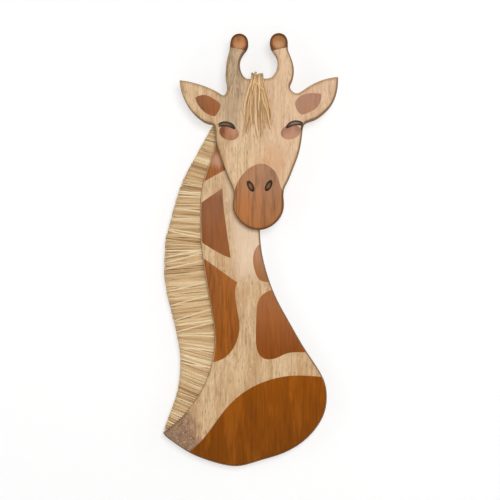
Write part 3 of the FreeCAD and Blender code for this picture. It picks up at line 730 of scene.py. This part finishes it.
# forelock: raffia folded over the crown of the head, stapled behind and hanging over the brow
forelockSetup = {
    "strands": 84, "points": 26,
    "crown": (6.5, 22.5),        # where the tuft crosses the top edge, mm across
    "fan": (-4, 35),             # and how wide it hangs
    "scatter": 0.13,             # how far a strand strays from its place in the fan
    "foot": (-14, 34, 0.45),     # height of the shortest, extra length, and how much less on the right
    # behind the head and over its top: depth, how it grows with the layer, height, share of the lift
    "over": ((-19.2, 1.4, 19, 0), (-18.4, 0.4, 31, 0), (-22, 0, 35.5, 1), (-31, 0, 36, 1)),
    # down the brow: share of the crown's place, sway, depth, share of proud, height, share of the lift
    "down": ((1, 0.3, -35.1, 1, 30, 0.4), (0.65, 0.5, -35.4, 1, 16, 0), (0.2, 1, -35.5, 0.8, -4, 0)),
    "tip": (0.4, -35.6, 0.4),    # sway, depth and share of proud at the foot
    "lift": (1.0, 4.4, 2.2),     # least and extra height over the crown, and how often it rises
    "proud": (0.6, 2.6),         # least and extra distance off the brow
    "sway": 0.9, "radii": (0.5, 0.7, 0.9, 1.2), "tone": (0.5, 0.24),
    "strand": {"sides": 6, "flat": 0.28, "taper": (0.6, 3)},
    # broad strips on top: tone, half width and the places each passes
    "bold": ((0.1, 1.0, ((6.5, -8), (4.6, -18), (-0.6, -39))),
             (0.12, 0.9, ((19.5, 4), (19.2, -20), (20, -47))),
             (0.6, 1.3, ((6.2, 8), (5.5, -10), (6.4, -30))),
             (0.66, 1.5, ((22, 8), (28.4, -12.6), (33, -36))),
             (0.84, 1.9, ((12.5, -18), (13.1, -29.6), (16.5, -48))),
             (0.68, 1.5, ((11.4, 21.4), (12.3, 2.7), (11.5, -14))),
             (0.82, 1.4, ((6.4, 30), (1.1, 12.9), (-3.1, -5), (-3.4, -18))),
             (0.72, 1.8, ((10.5, 30.8), (17, 24.5), (23.3, 17.2))),
             (0.86, 1.2, ((11.3, 34), (8.8, 24.8), (7.9, 17)))),
    "boldFace": (-38.2, -1.4),   # depth at the top of a strip, and how much further out its foot is
    "boldStrip": {"sides": 8, "flat": 0.4, "taper": (0.5, 4), "lift": 3.4, "inset": 1},
    "raffia": {
        "tones": [(0.0, paint(158, 116, 66)), (0.35, paint(212, 168, 114)), (0.7, paint(232, 190, 138)),
                  (1.0, paint(246, 214, 164))],
        "line": paint(190, 146, 92), "root": paint(156, 120, 80), "rootEnd": 0.2, "rootShade": 0.3,
        "fibre": (0.5, 0.6, 20),
    },
}


def throughPoints(points, count):   # a smooth line through the points
    points = [Vector(point) for point in points]
    points = [points[0] * 2 - points[1]] + points + [points[-1] * 2 - points[-2]]
    line = []
    spans = len(points) - 3
    for n in range(count):
        at = n / (count - 1) * spans
        span = min(int(at), spans - 1)
        t = at - span
        a, b, c, d = points[span:span + 4]
        line.append(0.5 * (2 * b + (c - a) * t + (2 * a - 5 * b + 4 * c - d) * t * t
                           + (3 * b - a - 3 * c + d) * t ** 3))
    return line


def inMetres(x, y, z):
    return (x * mm, y * mm, z * mm)


def overCrown(x, layer, rise, setup):   # from the staple behind the head, over its top edge to the brow
    return [inMetres(x, y + more * layer, z + share * rise) for y, more, z, share in setup["over"]]


def layRaffia(stalks, places, width, tone, points, strip):
    end, power = strip["taper"]
    radii = [width * (1 - end * (n / (points - 1)) ** power) for n in range(points)]
    stalks.addStalk(throughPoints(places, points), radii, tone, strip["sides"], flat=strip["flat"])


def hangStrand(stalks, setup, dice):
    crownLow, crownHigh = setup["crown"]
    fanLow, fanHigh = setup["fan"]
    side = dice.random()
    layer = dice.random()
    x = crownLow + (crownHigh - crownLow) * side
    spread = min(1, max(0, side + dice.gauss(0, setup["scatter"])))
    low = fanLow + (fanHigh - fanLow) * spread
    shortest, longer, slant = setup["foot"]
    foot = shortest - longer * dice.random() * (1 - slant * spread)
    least, more, waves = setup["lift"]
    rise = least + more * layer * (0.5 + 0.5 * abs(math.sin(side * waves * math.pi)))
    proud = setup["proud"][0] + setup["proud"][1] * layer
    sway = dice.gauss(0, setup["sway"])
    places = overCrown(x, layer, rise, setup)
    for held, swing, y, out, z, share in setup["down"]:
        across = x * held + low * (1 - held) + swing * sway
        places.append(inMetres(across, y - proud * out, z + share * rise))
    swing, y, out = setup["tip"]
    places.append(inMetres(low + swing * sway, y - proud * out, foot))
    width = dice.choice(setup["radii"]) * mm
    tone = min(1, max(0, dice.gauss(*setup["tone"])))
    layRaffia(stalks, places, width, tone, setup["points"], setup["strand"])


def hangForelock(setup):
    dice = random.Random(4)
    stalks = Stalks("raffiaForelock")
    for _ in range(setup["strands"]):
        hangStrand(stalks, setup, dice)
    strip = setup["boldStrip"]
    crownLow, crownHigh = setup["crown"]
    top, further = setup["boldFace"]
    for tone, width, passes in setup["bold"]:
        x = min(crownHigh - strip["inset"], max(crownLow + strip["inset"], passes[0][0]))
        last = len(passes) - 1
        front = [inMetres(px, top + further * n / last, pz) for n, (px, pz) in enumerate(passes)]
        places = overCrown(x, 1, strip["lift"], setup) + front
        layRaffia(stalks, places, width * mm, tone, setup["points"], strip)
    piece = stalks.makePiece(dryStraw("foreRaffia", setup["raffia"]))
    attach(piece, "plaque")
    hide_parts("forelock")


hangForelock(forelockSetup)
print("forelock hung")

# studio: a white wall behind, a pale floor below, soft light from above, in front and a little to the right
studioSetup = {
    "wall": 1.6, "wallGap": 0.3 * mm, "floor": -640 * mm, "floorReach": 3,
    "aim": (0, 0, -200 * mm),
    # place, width, height and watts; the last reaches only the plaque's back
    "lights": {"keyLight": ((0.3, -1.8, 0.25), 0.7, 0.7, 16.5),
               "sideLight": ((1.3, -0.5, 0.05), 0.8, 1.4, 4),
               "fillLight": ((-1.3, -0.8, 0.0), 0.8, 1.4, 4.5),
               "backLight": ((-0.7, 1.5, 0.5), 1.2, 1.2, 14)},
    "skyStrength": 0.17,
    "wallGlow": 0.53, "wallWhite": 0.55,
}


def flatSheet(name, corners, material):
    mesh = bpy.data.meshes.new(name)
    mesh.from_pydata(corners, [], [(0, 1, 2, 3)])
    mesh.materials.append(material)
    sheet = bpy.data.objects.new(name, mesh)
    bpy.context.collection.objects.link(sheet)
    return sheet


def wallPaint(glow, white):   # clear from behind, so that the plaque's back can be seen
    material, tree, shader = newMaterial("wallPaint")
    finish(shader, Base_Color=(white, white, white, 1), Roughness=0.9, Specular_IOR_Level=0.0,
           Emission_Color=(1, 1, 1, 1), Emission_Strength=glow)
    clear = add(tree, "BsdfTransparent").outputs[0]
    behind = add(tree, "NewGeometry").outputs["Backfacing"]
    mixed = add(tree, "MixShader", {0: behind, 1: shader.outputs[0], 2: clear}).outputs[0]
    tree.links.new(mixed, tree.nodes["Material Output"].inputs["Surface"])
    return material


def floorPaint():
    material, tree, shader = newMaterial("floorPaint")
    finish(shader, Base_Color=(0.86, 0.85, 0.84, 1), Roughness=0.85)
    return material


def hangLight(name, place, width, height, power, aim):
    light = bpy.data.lights.new(name, "AREA")
    light.shape = "RECTANGLE"
    light.energy, light.size, light.size_y = power, width, height
    lamp = bpy.data.objects.new(name, light)
    lamp.location = place
    lamp.rotation_euler = (Vector(place) - Vector(aim)).to_track_quat("Z", "Y").to_euler()
    bpy.context.collection.objects.link(lamp)


def buildStudio(setup):
    half, floor, reach = setup["wall"], setup["floor"], setup["floorReach"]
    behind = cadBox[1][1] + setup["wallGap"]
    corners = [(-half, behind, floor), (half, behind, floor), (half, behind, half), (-half, behind, half)]
    wall = flatSheet("wall", corners, wallPaint(setup["wallGlow"], setup["wallWhite"]))
    for ray in ("diffuse", "glossy", "transmission", "shadow", "volume_scatter"):
        setattr(wall, "visible_" + ray, False)
    corners = [(-reach, -reach, floor), (reach, -reach, floor),
               (reach, reach, floor), (-reach, reach, floor)]
    flatSheet("floor", corners, floorPaint())
    for name, (place, width, height, power) in setup["lights"].items():
        hangLight(name, place, width, height, power, setup["aim"])
    world = bpy.data.worlds.new("softSky")
    world.use_nodes = True
    sky = world.node_tree.nodes["Background"]
    sky.inputs["Color"].default_value = (1, 1, 1, 1)
    sky.inputs["Strength"].default_value = setup["skyStrength"]
    bpy.context.scene.world = world
    bpy.context.scene.view_settings.view_transform = "Standard"


buildStudio(studioSetup)
print("studio lit")
